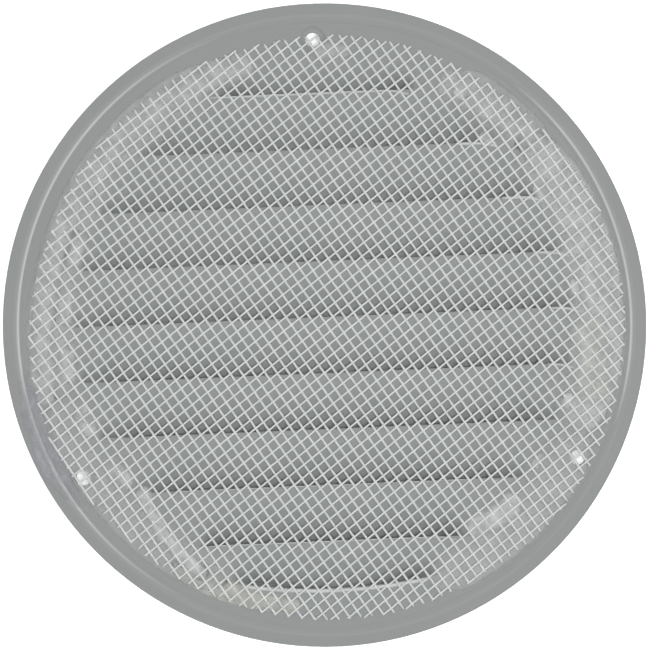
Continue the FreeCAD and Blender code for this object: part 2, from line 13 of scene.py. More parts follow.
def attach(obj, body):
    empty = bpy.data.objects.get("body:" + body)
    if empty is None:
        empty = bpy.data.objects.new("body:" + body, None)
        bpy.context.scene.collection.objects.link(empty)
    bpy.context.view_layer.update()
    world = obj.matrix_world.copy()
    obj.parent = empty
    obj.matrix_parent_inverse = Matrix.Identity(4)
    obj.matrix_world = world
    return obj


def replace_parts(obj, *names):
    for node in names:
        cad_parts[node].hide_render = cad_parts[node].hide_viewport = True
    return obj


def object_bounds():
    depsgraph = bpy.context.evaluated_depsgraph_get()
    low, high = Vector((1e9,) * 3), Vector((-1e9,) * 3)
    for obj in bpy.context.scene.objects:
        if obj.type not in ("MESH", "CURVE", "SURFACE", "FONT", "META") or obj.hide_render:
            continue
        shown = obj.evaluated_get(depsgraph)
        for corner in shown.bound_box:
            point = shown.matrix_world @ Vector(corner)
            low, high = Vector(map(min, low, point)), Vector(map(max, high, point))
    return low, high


MM = 0.001
DRAW = random.Random(41)

# The pressed plate
OUTER_RADIUS = 82.5
RECESS_RADIUS = 77.5
STEP_RUN = 2.4
STEP_HEIGHT = 1.2
# Bends up to this angle are shaded round, and corners this close to each other are one
ROUND_BEND = 38.0
SAME_CORNER = 0.002
# Painted light on the step, by radius: a little over the whole of it, and a painted highlight line along its
# middle
STEP_PAINTED_LIGHT = ((77.6, 0.0), (77.9, 0.06), (79.5, 0.1), (79.9, 0.0))
HIGHLIGHT_LINE = ((78.3, 0.0), (78.6, 1.0), (78.8, 1.0), (79.1, 0.0))
# The stretches of that painted highlight line: the angle of their middle, the cosines of the angles from there at
# which they fade out and are full, and how bright they are
HIGHLIGHT_STRETCHES = ((174.0, 0.35, 0.8, 1.0), (14.0, 0.8, 0.92, 1.0), (221.0, 0.98, 0.992, 0.35))
# The back of the plate is where its normal points up by more than this
BACK_FACING = 0.05

# Slits of the straight louvres: the highest one, and their spacing
SLIT_TOP = 59.7
SLIT_PITCH = 14.4
# Where the sheared edge below a slit is turned up: number of the slit, first and last x, and half its width
TURNED_EDGES = ((0, -27.0, 24.0, 0.3), (1, 36.0, 46.5, 0.45), (2, 47.0, 57.5, 0.45), (3, 55.0, 63.5, 0.4),
                (4, 58.5, 65.8, 0.35), (5, 57.0, 63.5, 0.3), (7, -40.0, 44.0, 0.1), (8, -32.0, 32.0, 0.15))
EDGE_STEP = 2.0
EDGE_FEWEST_STEPS = 4
# How far the right end of a turned-up edge drops round the end of its louvre, and over what length
EDGE_DROP = 1.2
EDGE_DROP_RUN = 6.0
# The bottom slit is an arc, and the edge below it is turned up all along
BOTTOM_SLIT = -67.7
BOTTOM_SLIT_RADIUS = 140.0
BOTTOM_EDGE_HALF = 24.0
BOTTOM_EDGE_STEPS = 24
BOTTOM_EDGE_ROLL = 0.65
BOTTOM_EDGE_SINK = 0.35
BOTTOM_EDGE_INSET = 0.6
# Painted shade above each straight slit, towards the ends of its louvre: by height over the slit, and by distance
# from the slit's end, which lies on a circle
SHADE_RISE = ((0.0, 1.0), (1.5, 0.6), (3.5, 0.2), (5.0, 0.0))
SHADE_REACH = ((0.0, 0.0), (1.5, 1.0), (6.0, 0.75), (10.0, 0.3), (13.0, 0.0))
SHADE_RUN = 20.0
SLIT_END_RADIUS = 65.0
# The same painted shade above the bottom slit, by height and by distance from its middle. It takes over below the
# lowest height given below it
BOTTOM_SHADE_RISE = ((0.0, 0.0), (0.2, 1.0), (1.5, 0.6), (3.5, 0.2), (5.0, 0.0))
BOTTOM_SHADE_REACH = ((8.0, 0.0), (16.0, 0.8), (25.0, 1.0), (27.0, 0.0))
SHADE_LOWEST = -57.0
# How dark the painted shade gets
SHADE_STRENGTH = 0.8

# The two families of threads: direction, spacing, how far the first one passes from the centre, and half width
WARP = {"turn": 36.3, "pitch": 2.4835, "start": 0.379, "radius": 0.255}
WEFT = {"turn": 122.0, "pitch": 2.4938, "start": -0.472, "radius": 0.335}
# How the threads bow and fan out over the cover, per millimetre
WARP_BOW = -1.35e-4
WEFT_FAN = 1.95e-4
WEFT_BOW = 4.7e-5
# Heights of the threads' middle lines: the warp rides on the weft, and both dip a little at each crossing
MESH_MIDDLE = 0.53
THREAD_LIFT = 0.12
THREAD_WAVE = 0.06
THREAD_SIDES = 6
# Threads and half pitches that are tried beyond the plate, the fewest half pitches that make a thread, and the
# least share of one that its cut end keeps
SPARE_THREADS = 2
SPARE_STEPS = 8
THREAD_FEWEST = 3
THREAD_END = 0.1
# Heights between which the painted shade on the lower yarn fades out: full at the first, none at the second
YARN_FULL_SHADE = 0.45
YARN_NO_SHADE = 0.95
# Distance from the centre to the hand-cut edge of the mesh, every 20 degrees round from +X
MESH_EDGE = (77.2, 76.6, 75.4, 74.8, 74.8, 74.0, 74.3, 74.2, 74.4, 76.1, 76.5, 74.7, 75.0, 75.6, 75.9, 75.9,
             77.1, 77.2)
MESH_EDGE_STEP = 20.0
FRAY = 0.5

# Colours as they are seen, from 0 to 255
METAL_COLOUR = (147, 150, 149)
METAL_TONES = ((144, 148, 147), (151, 153, 152))
# A painted highlight on the step
PAINTED_HIGHLIGHT_COLOUR = (204, 207, 206)
# Painted shade in the louvre pockets
PAINTED_SHADE_COLOUR = (100, 103, 102)
# The turned-up sheared edges: partly bare cut metal, partly a painted highlight
BARE_EDGE_AND_SHEEN_COLOUR = (196, 199, 198)
YARN_COLOUR = (228, 229, 227)
YARN_TONES = ((221, 223, 223), (231, 233, 233))
# Painted shade on the yarn that lies lower
SHADED_YARN_COLOUR = (204, 207, 207)
METAL_ROUGHNESS = 0.7
METAL_SHINE = 0.25
SHEARED_ROUGHNESS = 0.5
YARN_ROUGHNESS = 0.55
# Speckles: how detailed the clouds and the grain are, how fine, and the depth of the grain
CLOUD_DETAIL = 3.0
GRAIN_DETAIL = 2.0
METAL_SPECKLE = (35.0, 1400.0, 0.01)
YARN_SPECKLE = (300.0, 4000.0, 0.01)
GLUE_SPECKLE = (260.0, 900.0, 0.03)
# Looks of the glue: two tones, how opaque it is in dark and in light clouds, and its roughness
GLUE_LOOKS = {
    "glue_milky": ((214, 217, 216), (224, 226, 224), 0.25, 0.6, 0.45),
    "glue_hazy": ((208, 211, 210), (218, 220, 219), 0.15, 0.4, 0.45),
    "glue_faint": ((208, 211, 210), (218, 220, 219), 0.08, 0.36, 0.45),
    "glue_whitish": ((212, 215, 214), (222, 224, 222), 0.16, 0.5, 0.45),
    "glue_yellowish": ((208, 209, 198), (216, 217, 209), 0.15, 0.4, 0.45),
    "glue_thin_film": ((206, 209, 208), (214, 216, 215), 0.2, 0.42, 0.45),
    "glue_smear_film": ((170, 170, 178), (190, 191, 196), 0.16, 0.62, 0.6),
}
# The clouds of the speckle that count as dark and as light
CLOUD_SPAN = (0.35, 0.65)

# Runs of glue: three places on the middle line as angle and distance in from the edge of the recess, width, height
# and look
GLUE_RUNS = {
    "glue_bead_left": (((105.7, 7.7), (139.6, 6.6), (190.9, 3.6)), 7.4, 0.8, "glue_hazy"),
    "glue_bead_right": (((59.0, 7.5), (31.8, 6.3), (3.2, 6.9)), 9.0, 0.7, "glue_hazy"),
    "glue_blob_right": (((-4.6, 8.9), (-9.8, 7.3), (-15.1, 6.5)), 11.0, 0.85, "glue_yellowish"),
    "glue_blob_lower_right": (((-55.2, 12.7), (-50.9, 11.2), (-46.2, 11.0)), 6.4, 0.85, "glue_milky"),
    "glue_streak_lower_left": (((220.7, 13.9), (230.4, 9.7), (240.9, 6.6)), 4.6, 0.85, "glue_milky"),
    "glue_blob_bottom": (((248.0, 5.4), (254.4, 4.8), (260.9, 5.0)), 5.0, 0.8, "glue_yellowish"),
    "glue_dab_top_hole": (((84.4, 6.9), (86.3, 6.9), (88.2, 6.9)), 5.2, 0.75, "glue_faint"),
    "glue_dab_louvre_4": (((158.4, 10.8), (160.4, 10.8), (162.4, 10.8)), 5.2, 0.75, "glue_whitish"),
    "glue_dab_louvre_5": (((171.7, 10.6), (173.7, 10.6), (175.7, 10.6)), 5.2, 0.75, "glue_whitish"),
    "glue_dab_louvre_6": (((184.4, 10.7), (186.4, 10.7), (188.4, 10.7)), 5.2, 0.75, "glue_whitish"),
    "glue_dab_louvre_7": (((197.5, 11.4), (199.5, 11.4), (201.5, 11.4)), 5.2, 0.75, "glue_whitish"),
    "glue_dab_louvre_8": (((211.7, 12.0), (213.7, 12.0), (215.7, 12.0)), 5.2, 0.75, "glue_whitish"),
}
# Specks of glue at the right ends of the slits: angle and distance in from the edge of the recess
GLUE_SPECKS = ((57.2, 8.8), (46.6, 14.0), (29.2, 12.8), (6.4, 12.5), (-19.7, 12.1), (-34.8, 12.4))
SPECK_WIDTH = 3.0
SPECK_SPREAD = 0.7
SPECK_HEIGHT = 0.85
SPECK_SEED = 40
GLUE_FOOT = 0.04
# The grid of a run: its fewest rows, the length of a row, and points across
RUN_FEWEST_ROWS = 14
RUN_STEP = 0.7
RUN_COLUMNS = 12
# Its edge wanders by a share of its width over a size, and its ends never close altogether
RUN_WANDER = 0.3
RUN_WANDER_SIZE = 3.1
RUN_TIP = 0.003
# Its top: how thick it is at least, how full its section is, its level, and its lumps as height and size
RUN_SKIN = 0.03
RUN_FULLNESS = 0.55
RUN_LEVEL = 0.85
RUN_LUMPS = ((0.2, 1.6), (0.06, 0.6))
# How soon it is deep, from its edges and from its ends
RUN_DEEPENS = 5.0
RUN_END_DEEPENS = 1.4

# Thin films of glue pressed flat under the mesh: first and last angle, inner and outer radius, how milky, and look
GLUE_FILMS = {
    "glue_film_right": (-26.0, 42.0, 62.5, 77.2, 1.0, "glue_thin_film"),
    "glue_film_upper_right": (36.0, 60.0, 64.0, 76.6, 0.55, "glue_thin_film"),
    "glue_film_lower_right": (-70.0, -24.0, 65.0, 77.2, 0.6, "glue_thin_film"),
    "glue_film_left": (104.0, 194.0, 63.0, 75.6, 0.7, "glue_thin_film"),
    "glue_film_lower_left": (192.0, 247.0, 64.0, 76.0, 0.5, "glue_thin_film"),
    "glue_film_bottom": (235.0, 256.0, 69.0, 75.8, 0.85, "glue_yellowish"),
}
FILM_SEED = 20
FILM_STEP = 0.9
FILM_COLUMNS = 14
FILM_HEIGHT = 0.25
# Share by which its thickness varies, and over what size
FILM_UNEVEN = 0.5
FILM_UNEVEN_SIZE = 1.4
# How far it wanders in and out, how often along it and across it, and how blunt its ends are
FILM_WANDER = 0.64
FILM_WANDER_ALONG = 20.0
FILM_WANDER_ACROSS = 3.0
FILM_BLUNTNESS = 6
# Its blotches as strength and size, and how soon it is deep, from its inner edge and from its ends
FILM_BLOTCH = 0.7
FILM_BLOTCH_SIZE = 6.0
FILM_DEEPENS = 3.0
FILM_END_DEEPENS = 20.0
# A film's end keeps this much of its squared width
FILM_TIP = 0.02

# The smear: first and last angle, inner and outer radius, and its grid
SMEAR_START = 186.0
SMEAR_END = 215.0
SMEAR_INNER = 75.9
SMEAR_OUTER = 82.1
SMEAR_ROWS = 70
SMEAR_COLUMNS = 40
# Its ends: how blunt, how far in from its inner radius, and how wide
SMEAR_BLUNTNESS = 3
SMEAR_END_INSET = 1.2
SMEAR_END_WIDTH = 1.6
# Its outer edge: the share of its width that it reaches, and how much and how often that varies
SMEAR_REACH = 0.85
SMEAR_REACH_VARIES = 0.3
SMEAR_REACH_ALONG = 9.0
SMEAR_REACH_SEED = 5
# Its thickness and its folds: their height, how close they lie, and how much and how often they stray
SMEAR_SKIN = 0.06
SMEAR_FOLD = 0.07
SMEAR_FOLD_RATE = 4.0
SMEAR_STRAY = 6.0
SMEAR_STRAY_ALONG = 14.0
SMEAR_STRAY_ACROSS = 3.0
SMEAR_STRAY_SEED = 9
# Its milkiest patch: the angle of its middle and its spread, how milky the rest is, and how soon the smear is deep
SMEAR_PATCH = 204.0
SMEAR_PATCH_SPREAD = 4.5
SMEAR_REST = 0.7
SMEAR_END_DEEPENS = 8.0
SMEAR_EDGE_DEEPENS = 6.0
# How far apart the noises of two neighbouring seeds lie
SEED_STEP = 7.3

# The view: the cover lies turned a little on the table, and the picture's width spans a little more than its ring
PICTURE_TURN = 2.4
PICTURE_SPAN = 166.6
PICTURE_SHIFT = (0.11, 0.03)
LENS = 100.0
SENSOR = 36.0
# The table: white with a painted glow round the cover and under its rim, and painted shade in grey under the
# cover, with the radii between which each sets in
TABLE_SIZE = 3000.0
TABLE_WHITE = 0.95
TABLE_SHADE_GREY = 0.27
TABLE_SHADE_FADE = (70.5, 72.0)
TABLE_ROUGHNESS = 0.8
TABLE_GLOW = 0.6
TABLE_GLOW_FROM = (71.0, 77.5)
WHITE = (1.0, 1.0, 1.0, 1.0)
ROOM_LIGHT = 0.1
# Lamps: place and width in metres, and watts
LAMPS = {
    "lamp_camera": ((0.02, -0.015, 0.55), 0.12, 2.5),
    "lamp_right": ((0.60, 0.10, 0.45), 0.2, 0.5),
    "lamp_left": ((-0.60, 0.05, 0.45), 0.2, 0.4),
}


def linear(red, green, blue):
    """A colour as it is seen, from 0 to 255, as the light that a shader needs."""
    def one(value):
        value /= 255.0
        return value / 12.92 if value <= 0.04045 else ((value + 0.055) / 1.055) ** 2.4
    return one(red), one(green), one(blue), 1.0


def clamp(value, low=0.0, high=1.0):
    """A value held between two limits."""
    return min(max(value, low), high)


def new_material(name, colour, roughness):
    """A material with a Principled shader, and that shader."""
    material = bpy.data.materials.new(name)
    material.use_nodes = True
    shader = material.node_tree.nodes["Principled BSDF"]
    shader.inputs["Base Color"].default_value = colour
    shader.inputs["Roughness"].default_value = roughness
    return material, shader


def new_group(name, inputs, outputs):
    """An empty shader group with named sockets, and the nodes of its inputs and its outputs."""
    tree = bpy.data.node_groups.new(name, "ShaderNodeTree")
    for direction, sockets in (("INPUT", inputs), ("OUTPUT", outputs)):
        for socket, kind in sockets.items():
            tree.interface.new_socket(socket, in_out=direction, socket_type=kind)
    return tree, tree.nodes.new("NodeGroupInput"), tree.nodes.new("NodeGroupOutput")


def speckle_group():
    """A shader group that clouds a colour between two tones and gives a fine grain for a Bump node."""
    tree, inside, outside = new_group(
        "speckle",
        {"Tone A": "NodeSocketColor", "Tone B": "NodeSocketColor", "Cloud Scale": "NodeSocketFloat",
         "Grain Scale": "NodeSocketFloat"},
        {"Colour": "NodeSocketColor", "Cloud": "NodeSocketFloat", "Grain": "NodeSocketFloat"})
    nodes, links = tree.nodes, tree.links
    place = nodes.new("ShaderNodeTexCoord")
    cloud = nodes.new("ShaderNodeTexNoise")
    cloud.inputs["Detail"].default_value = CLOUD_DETAIL
    grain = nodes.new("ShaderNodeTexNoise")
    grain.inputs["Detail"].default_value = GRAIN_DETAIL
    mix = nodes.new("ShaderNodeMix")
    mix.data_type = "RGBA"
    for texture, scale in ((cloud, "Cloud Scale"), (grain, "Grain Scale")):
        links.new(place.outputs["Object"], texture.inputs["Vector"])
        links.new(inside.outputs[scale], texture.inputs["Scale"])
    links.new(cloud.outputs["Fac"], mix.inputs["Factor"])
    links.new(inside.outputs["Tone A"], mix.inputs["A"])
    links.new(inside.outputs["Tone B"], mix.inputs["B"])
    links.new(mix.outputs["Result"], outside.inputs["Colour"])
    links.new(cloud.outputs["Fac"], outside.inputs["Cloud"])
    links.new(grain.outputs["Fac"], outside.inputs["Grain"])
    return tree


def glue_fade_group():
    """A shader group for how opaque glue is: less so where its clouds are dark, and clear where it runs out."""
    tree, inside, outside = new_group(
        "glue_fade",
        {"Cloud": "NodeSocketFloat", "Depth": "NodeSocketFloat", "Thin": "NodeSocketFloat",
         "Thick": "NodeSocketFloat"},
        {"Opacity": "NodeSocketFloat"})
    nodes, links = tree.nodes, tree.links
    spread = nodes.new("ShaderNodeMapRange")
    spread.inputs["From Min"].default_value, spread.inputs["From Max"].default_value = CLOUD_SPAN
    opacity = nodes.new("ShaderNodeMath")
    opacity.operation = "MULTIPLY"
    links.new(inside.outputs["Cloud"], spread.inputs["Value"])
    links.new(inside.outputs["Thin"], spread.inputs["To Min"])
    links.new(inside.outputs["Thick"], spread.inputs["To Max"])
    links.new(spread.outputs["Result"], opacity.inputs[0])
    links.new(inside.outputs["Depth"], opacity.inputs[1])
    links.new(opacity.outputs["Value"], outside.inputs["Opacity"])
    return tree


SPECKLE = speckle_group()
GLUE_FADE = glue_fade_group()


def add_speckle(material, shader, tones, fineness):
    """Puts the speckle group into a material: its colour, and its grain as a bump. Returns the group's node."""
    nodes, links = material.node_tree.nodes, material.node_tree.links
    cloud_scale, grain_scale, grain_depth = fineness
    speckle = nodes.new("ShaderNodeGroup")
    speckle.node_tree = SPECKLE
    speckle.inputs["Tone A"].default_value = linear(*tones[0])
    speckle.inputs["Tone B"].default_value = linear(*tones[1])
    speckle.inputs["Cloud Scale"].default_value = cloud_scale
    speckle.inputs["Grain Scale"].default_value = grain_scale
    links.new(speckle.outputs["Colour"], shader.inputs["Base Color"])
    bump = nodes.new("ShaderNodeBump")
    bump.inputs["Strength"].default_value = 1.0
    bump.inputs["Distance"].default_value = grain_depth * MM
    links.new(speckle.outputs["Grain"], bump.inputs["Height"])
    links.new(bump.outputs["Normal"], shader.inputs["Normal"])
    return speckle


def add_math(material, operation, *values):
    """A maths node on sockets or plain numbers, and its result."""
    node = material.node_tree.nodes.new("ShaderNodeMath")
    node.operation = operation
    for socket, value in zip(node.inputs, values):
        if isinstance(value, (int, float)):
            socket.default_value = value
        else:
            material.node_tree.links.new(value, socket)
    return node.outputs["Value"]


def add_product(material, first, *others):
    """Maths nodes that multiply sockets or plain numbers, and their result."""
    for other in others:
        first = add_math(material, "MULTIPLY", first, other)
    return first


def add_range(material, value, span, result=(0.0, 1.0)):
    """A node that maps a span of values to another span, and its result."""
    node = material.node_tree.nodes.new("ShaderNodeMapRange")
    for name, limit in zip(("From Min", "From Max", "To Min", "To Max"), (*span, *result)):
        node.inputs[name].default_value = limit
    material.node_tree.links.new(value, node.inputs["Value"])
    return node.outputs["Result"]


def add_ramp(material, value, stops):
    """A ramp node that turns a value into grey along stops of position and brightness."""
    nodes, links = material.node_tree.nodes, material.node_tree.links
    ramp = nodes.new("ShaderNodeValToRGB")
    while len(ramp.color_ramp.elements) < len(stops):
        ramp.color_ramp.elements.new(0.5)
    for element, (position, grey) in zip(ramp.color_ramp.elements, stops):
        element.position = position
        element.color = (grey, grey, grey, 1.0)
    links.new(value, ramp.inputs["Fac"])
    return ramp.outputs["Color"]


def add_distance_ramp(material, distance, longest, stops):
    """The same for a distance, with stops in millimetres up to the longest."""
    share = add_math(material, "DIVIDE", distance, longest * MM)
    return add_ramp(material, share, [(at / longest, grey) for at, grey in stops])


def add_mix(material, factor, colour_a, colour_b):
    """A node that mixes two colours, each a socket or a plain colour, and its result."""
    nodes, links = material.node_tree.nodes, material.node_tree.links
    mix = nodes.new("ShaderNodeMix")
    mix.data_type = "RGBA"
    links.new(factor, mix.inputs["Factor"])
    for name, colour in (("A", colour_a), ("B", colour_b)):
        if isinstance(colour, tuple):
            mix.inputs[name].default_value = colour
        else:
            links.new(colour, mix.inputs[name])
    return mix.outputs["Result"]


def add_axes(material, kind):
    """X, Y and Z of the place on an object, or of the way that its surface faces."""
    nodes, links = material.node_tree.nodes, material.node_tree.links
    place = nodes.new("ShaderNodeTexCoord")
    axes = nodes.new("ShaderNodeSeparateXYZ")
    links.new(place.outputs[kind], axes.inputs["Vector"])
    return axes.outputs["X"], axes.outputs["Y"], axes.outputs["Z"]


def painted_step_highlight(material, x, y):
    """Where light is painted on the step: a little all round, and a painted highlight along stretches of a line.
    """
    square = add_math(material, "ADD", add_math(material, "POWER", x, 2.0), add_math(material, "POWER", y, 2.0))
    radius = add_math(material, "SQRT", square)
    step_highlight = add_distance_ramp(material, radius, OUTER_RADIUS, STEP_PAINTED_LIGHT)
    line = add_distance_ramp(material, radius, OUTER_RADIUS, HIGHLIGHT_LINE)
    for middle, fades, full, bright in HIGHLIGHT_STRETCHES:
        turn = math.radians(middle)
        along = add_math(material, "ADD", add_product(material, x, math.cos(turn)),
                         add_product(material, y, math.sin(turn)))
        inside = add_ramp(material, add_math(material, "DIVIDE", along, radius), ((fades, 0.0), (full, bright)))
        step_highlight = add_math(material, "MAXIMUM", step_highlight, add_product(material, line, inside))
    return step_highlight


def painted_pocket_shade(material, x, y):
    """Where shade is painted: above the slits, towards the ends of their louvres."""
    sideways = add_math(material, "ABSOLUTE", x)
    drop = add_math(material, "DIVIDE", add_math(material, "SUBTRACT", SLIT_TOP * MM, y), SLIT_PITCH * MM)
    share = add_math(material, "SUBTRACT", 1.0, add_math(material, "FRACT", drop))
    over = add_product(material, share, SLIT_PITCH * MM)
    slit = add_math(material, "SUBTRACT", y, over)
    half = add_math(material, "SQRT", add_math(material, "SUBTRACT", (SLIT_END_RADIUS * MM) ** 2,
                                               add_product(material, slit, slit)))
    to_end = add_math(material, "SUBTRACT", half, sideways)
    straight = add_product(material, add_distance_ramp(material, over, SLIT_PITCH, SHADE_RISE),
                           add_distance_ramp(material, to_end, SHADE_RUN, SHADE_REACH),
                           add_math(material, "GREATER_THAN", y, SHADE_LOWEST * MM))
    arc = add_math(material, "DIVIDE", add_math(material, "POWER", x, 2.0), 2 * BOTTOM_SLIT_RADIUS * MM)
    over = add_math(material, "SUBTRACT", add_math(material, "SUBTRACT", y, BOTTOM_SLIT * MM), arc)
    bottom = add_product(material, add_distance_ramp(material, over, SLIT_PITCH, BOTTOM_SHADE_RISE),
                         add_distance_ramp(material, sideways, OUTER_RADIUS, BOTTOM_SHADE_REACH),
                         add_math(material, "LESS_THAN", y, SHADE_LOWEST * MM))
    return add_product(material, add_math(material, "MAXIMUM", straight, bottom), SHADE_STRENGTH)


def metal_material():
    """Satin grey sheet metal with a faint grain. Its back has a painted highlight along the step and painted shade
    in the pockets.
    """
    material, shader = new_material("plate_satin_grey", linear(*METAL_COLOUR), METAL_ROUGHNESS)
    shader.inputs["Specular IOR Level"].default_value = METAL_SHINE
    speckle = add_speckle(material, shader, METAL_TONES, METAL_SPECKLE)
    x, y = add_axes(material, "Object")[:2]
    back = add_math(material, "GREATER_THAN", add_axes(material, "Normal")[2], BACK_FACING)
    # A painted highlight along the step, on the back only
    step_highlight = add_mix(material, add_product(material, painted_step_highlight(material, x, y), back),
                     speckle.outputs["Colour"], linear(*PAINTED_HIGHLIGHT_COLOUR))
    # Painted shade in the louvre pockets, on the back only
    pocket_shaded = add_mix(material, add_product(material, painted_pocket_shade(material, x, y), back),
                    step_highlight, linear(*PAINTED_SHADE_COLOUR))
    material.node_tree.links.new(pocket_shaded, shader.inputs["Base Color"])
    return material


def yarn_material():
    """White coated yarn, with painted shade that makes the threads lying lower a little greyer."""
    material, shader = new_material("white_yarn", linear(*YARN_COLOUR), YARN_ROUGHNESS)
    speckle = add_speckle(material, shader, YARN_TONES, YARN_SPECKLE)
    height = add_axes(material, "Object")[2]
    # Painted shade by height: the lower the thread, the greyer
    unshaded = add_range(material, height, (YARN_FULL_SHADE * MM, YARN_NO_SHADE * MM))
    colour = add_mix(material, unshaded, linear(*SHADED_YARN_COLOUR), speckle.outputs["Colour"])
    material.node_tree.links.new(colour, shader.inputs["Base Color"])
    return material


def glue_material(name, tone_a, tone_b, thin, thick, roughness):
    """Set hot-melt glue, milky and a little see-through."""
    material, shader = new_material(name, linear(*tone_a), roughness)
    nodes, links = material.node_tree.nodes, material.node_tree.links
    speckle = add_speckle(material, shader, (tone_a, tone_b), GLUE_SPECKLE)
    depth = nodes.new("ShaderNodeAttribute")
    depth.attribute_name = "glue_depth"
    fade = nodes.new("ShaderNodeGroup")
    fade.node_tree = GLUE_FADE
    fade.inputs["Thin"].default_value = thin
    fade.inputs["Thick"].default_value = thick
    links.new(speckle.outputs["Cloud"], fade.inputs["Cloud"])
    links.new(depth.outputs["Fac"], fade.inputs["Depth"])
    links.new(fade.outputs["Opacity"], shader.inputs["Alpha"])
    return material


def add_piece(name, points, faces, material):
    """A smooth piece of the cover, in the frame's axes."""
    mesh = bpy.data.meshes.new(name)
    mesh.from_pydata([Vector(point) * MM for point in points], [], faces)
    mesh.polygons.foreach_set("use_smooth", [True] * len(mesh.polygons))
    mesh.materials.append(material)
    piece = bpy.data.objects.new(name, mesh)
    bpy.context.scene.collection.objects.link(piece)
    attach(piece, "root")
    return piece


def shade_bends_smooth(plate):
    """Shades the plate's folded bends as round ones and keeps its edges crisp. Only doubled corners are joined."""
    tree = bpy.data.node_groups.new("smooth_bends", "GeometryNodeTree")
    tree.interface.new_socket("Geometry", in_out="INPUT", socket_type="NodeSocketGeometry")
    tree.interface.new_socket("Geometry", in_out="OUTPUT", socket_type="NodeSocketGeometry")
    nodes, links = tree.nodes, tree.links
    inside = nodes.new("NodeGroupInput")
    outside = nodes.new("NodeGroupOutput")
    forget = nodes.new("GeometryNodeRemoveAttribute")
    forget.inputs["Name"].default_value = "custom_normal"
    weld = nodes.new("GeometryNodeMergeByDistance")
    weld.inputs["Distance"].default_value = SAME_CORNER * MM
    round_faces = nodes.new("GeometryNodeSetShadeSmooth")
    crisp_edges = nodes.new("GeometryNodeSetShadeSmooth")
    crisp_edges.domain = "EDGE"
    crisp_edges.inputs["Shade Smooth"].default_value = False
    angle = nodes.new("GeometryNodeInputMeshEdgeAngle")
    sharp = nodes.new("FunctionNodeCompare")
    sharp.operation = "GREATER_THAN"
    sharp.inputs["B"].default_value = math.radians(ROUND_BEND)
    links.new(inside.outputs["Geometry"], forget.inputs["Geometry"])
    links.new(forget.outputs["Geometry"], weld.inputs["Geometry"])
    links.new(weld.outputs["Geometry"], round_faces.inputs["Geometry"])
    links.new(round_faces.outputs["Geometry"], crisp_edges.inputs["Geometry"])
    links.new(angle.outputs["Unsigned Angle"], sharp.inputs["A"])
    links.new(sharp.outputs["Result"], crisp_edges.inputs["Selection"])
    links.new(crisp_edges.outputs["Geometry"], outside.inputs["Geometry"])
    plate.modifiers.new("smooth_bends", "NODES").node_group = tree
    flats = plate.modifiers.new("flat_faces", "WEIGHTED_NORMAL")
    flats.mode = "FACE_AREA_WITH_ANGLE"
    flats.keep_sharp = True


def edge_radius(angle):
    """Distance from the centre to the cut edge of the mesh at an angle in degrees."""
    place = (angle % 360.0) / MESH_EDGE_STEP
    first = int(place)
    share = place - first
    return MESH_EDGE[first % len(MESH_EDGE)] * (1 - share) + MESH_EDGE[(first + 1) % len(MESH_EDGE)] * share


def thread_normal(family):
    """The direction across a family of threads."""
    turn = math.radians(family["turn"])
    return Vector((-math.sin(turn), math.cos(turn)))


WARP_NORMAL = thread_normal(WARP)
WEFT_NORMAL = thread_normal(WEFT)


def crossing(warp, weft):
    """Where the warp thread and the weft thread of these numbers cross. Fractions lie between threads."""
    u = WARP["start"] + warp * WARP["pitch"]
    v = WEFT["start"] + weft * WEFT["pitch"]
    skew = WARP_NORMAL.x * WEFT_NORMAL.y - WARP_NORMAL.y * WEFT_NORMAL.x
    spot = Vector((u * WEFT_NORMAL.y - v * WARP_NORMAL.y, v * WARP_NORMAL.x - u * WEFT_NORMAL.x)) / skew
    bow = WARP_BOW * spot.y ** 2
    fan = WEFT_FAN * spot.x * spot.y + WEFT_BOW * spot.y ** 2
    return spot + WARP_NORMAL * bow + WEFT_NORMAL * fan


def inside_edge(spot):
    """How far a place lies inside the cut edge of the mesh."""
    return edge_radius(math.degrees(math.atan2(spot.y, spot.x))) - spot.length


def thread_line(place, height):
    """The middle line of one thread from edge to edge, with a point at every half pitch.

    place and height take the number of pitches along the thread.
    """
    reach = int(2 * OUTER_RADIUS / WARP["pitch"]) + SPARE_STEPS
    steps = [k / 2 for k in range(-reach, reach + 1) if inside_edge(place(k / 2)) > 0]
    if len(steps) < THREAD_FEWEST:
        return []
    ends = []
    for kept, beyond in ((steps[0], steps[0] - 0.5), (steps[-1], steps[-1] + 0.5)):
        depth, outside = inside_edge(place(kept)), inside_edge(place(beyond))
        share = depth / (depth - outside) * (1 - FRAY * DRAW.random())
        ends.append(kept + (beyond - kept) * max(share, THREAD_END))
    return [(*place(k), height(k)) for k in [ends[0]] + steps + [ends[1]]]


def add_tube(line, radius, points, faces):
    """Adds a closed tube along a line to the points and faces of a piece."""
    line = [Vector(spot) for spot in line]
    first = len(points)
    for number, spot in enumerate(line):
        along = (line[min(number + 1, len(line) - 1)] - line[max(number - 1, 0)]).normalized()
        side = Vector((-along.y, along.x, 0)).normalized()
        up = along.cross(side)
        for k in range(THREAD_SIDES):
            turn = 2 * math.pi * k / THREAD_SIDES
            points.append(spot + (side * math.cos(turn) + up * math.sin(turn)) * radius)
    for number in range(len(line) - 1):
        ring = first + number * THREAD_SIDES
        for k in range(THREAD_SIDES):
            after = (k + 1) % THREAD_SIDES
            faces.append((ring + k, ring + after, ring + THREAD_SIDES + after, ring + THREAD_SIDES + k))
    faces.append(tuple(first + k for k in reversed(range(THREAD_SIDES))))
    last = first + (len(line) - 1) * THREAD_SIDES
    faces.append(tuple(last + k for k in range(THREAD_SIDES)))


